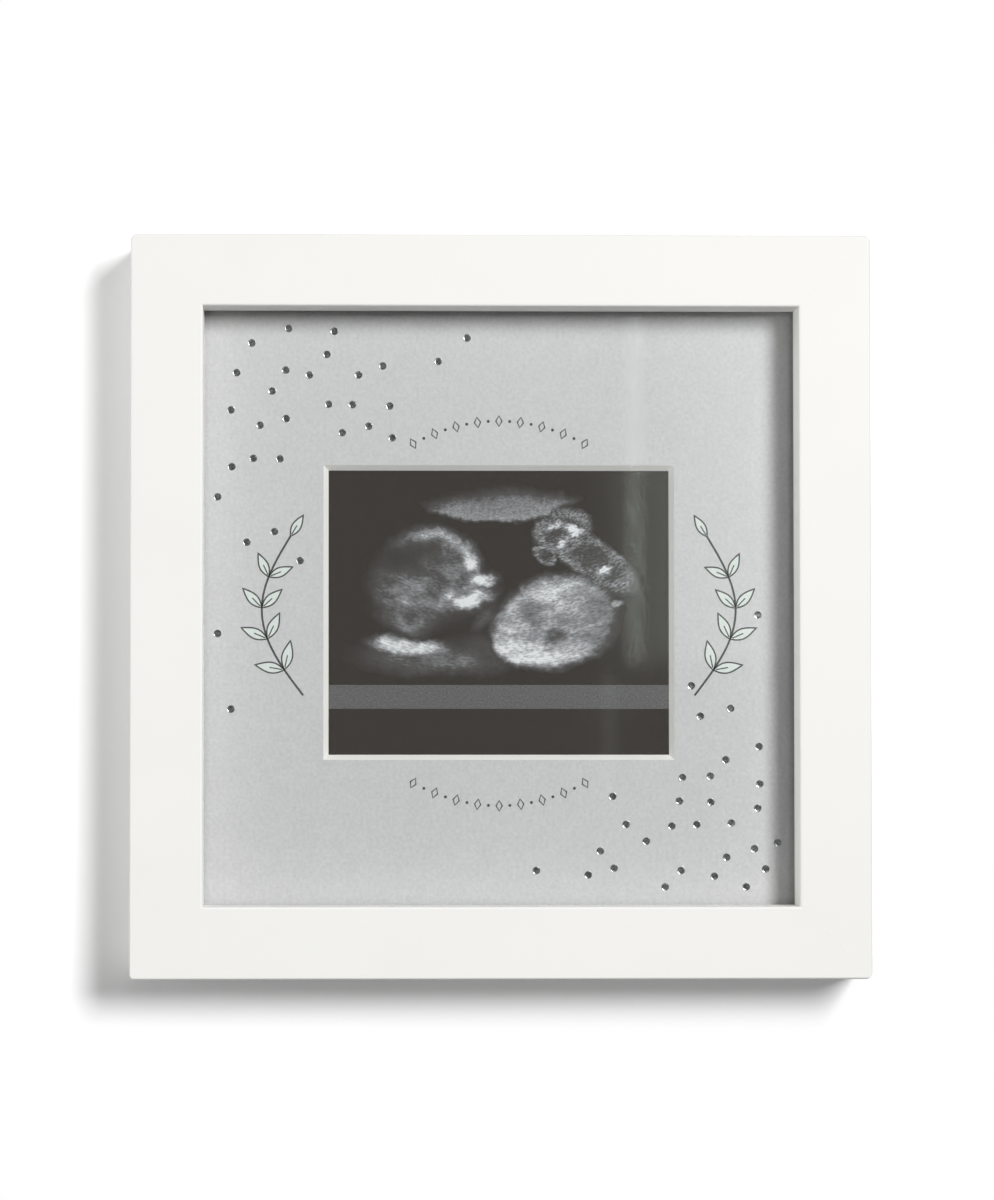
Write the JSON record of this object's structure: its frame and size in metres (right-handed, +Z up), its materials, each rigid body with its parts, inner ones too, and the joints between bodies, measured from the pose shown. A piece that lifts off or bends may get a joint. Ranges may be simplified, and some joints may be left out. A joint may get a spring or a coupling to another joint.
{
  "type": "photo frame",
  "caption": "Square white box frame that shows a scan print behind glass in a bevel-cut mount, with an easel strut, turn buttons and a sawtooth hanger on its back.",
  "frame": {"origin": "middle of the bottom rail's underside, at half of the moulding's depth", "axes": "+Z up, +X to the right seen from the front, the front faces -Y and the back faces +Y"},
  "size_m": [0.2, 0.0295, 0.201],
  "materials": {
    "white_paint": "satin",
    "clear_glass": "polished",
    "mount_board": "matte",
    "scan_paper": "satin",
    "backing_card": "matte",
    "fibreboard": "matte",
    "zinc_plate": "satin",
    "brass_plate": "satin"
  },
  "bodies": {
    "frame": {"rail_bottom": "white_paint", "rail_top": "white_paint", "rail_left": "white_paint", "rail_right": "white_paint", "corner_nail_bottom_left": "zinc_plate", "corner_nail_top_left": "zinc_plate", "corner_nail_top_right": "zinc_plate", "corner_nail_bottom_right": "zinc_plate", "glass_pane": "clear_glass", "mat": "mount_board", "scan_print": "scan_paper", "backing_card": "backing_card", "spacer_bottom": "fibreboard", "spacer_top": "fibreboard", "spacer_left": "fibreboard", "spacer_right": "fibreboard", "back_board": "fibreboard", "hinge_plate": "zinc_plate", "hinge_pin": "zinc_plate", "plate_rivet_left": "zinc_plate", "plate_rivet_right": "zinc_plate", "button_screw_left_lower": "brass_plate", "button_screw_left_upper": "brass_plate", "button_screw_right_lower": "brass_plate", "button_screw_right_upper": "brass_plate", "sawtooth_hanger": "zinc_plate", "hanger_nail_left": "zinc_plate", "hanger_nail_right": "zinc_plate"},
    "strut": {"strut": "fibreboard", "strut_leaf": "zinc_plate", "strut_rivet_left": "zinc_plate", "strut_rivet_right": "zinc_plate"},
    "button_left_lower": {"turn_button_left_lower": "brass_plate"},
    "button_left_upper": {"turn_button_left_upper": "brass_plate"},
    "button_right_lower": {"turn_button_right_lower": "brass_plate"},
    "button_right_upper": {"turn_button_right_upper": "brass_plate"}
  },
  "joints": [
    {"name": "strut_hinge", "type": "hinge", "parent": "frame", "child": "strut", "pos_m": [0, 0.01418, 0.146], "axis": [1, 0, 0], "range_deg": [0, 30]},
    {"name": "button_left_lower_turn", "type": "hinge", "parent": "frame", "child": "button_left_lower", "pos_m": [-0.09325, 0.0131, 0.06], "axis": [0, 1, 0], "continuous": true},
    {"name": "button_left_upper_turn", "type": "hinge", "parent": "frame", "child": "button_left_upper", "pos_m": [-0.09325, 0.0131, 0.141], "axis": [0, 1, 0], "continuous": true},
    {"name": "button_right_lower_turn", "type": "hinge", "parent": "frame", "child": "button_right_lower", "pos_m": [0.09325, 0.0131, 0.06], "axis": [0, 1, 0], "continuous": true},
    {"name": "button_right_upper_turn", "type": "hinge", "parent": "frame", "child": "button_right_upper", "pos_m": [0.09325, 0.0131, 0.141], "axis": [0, 1, 0], "continuous": true}
  ]
}
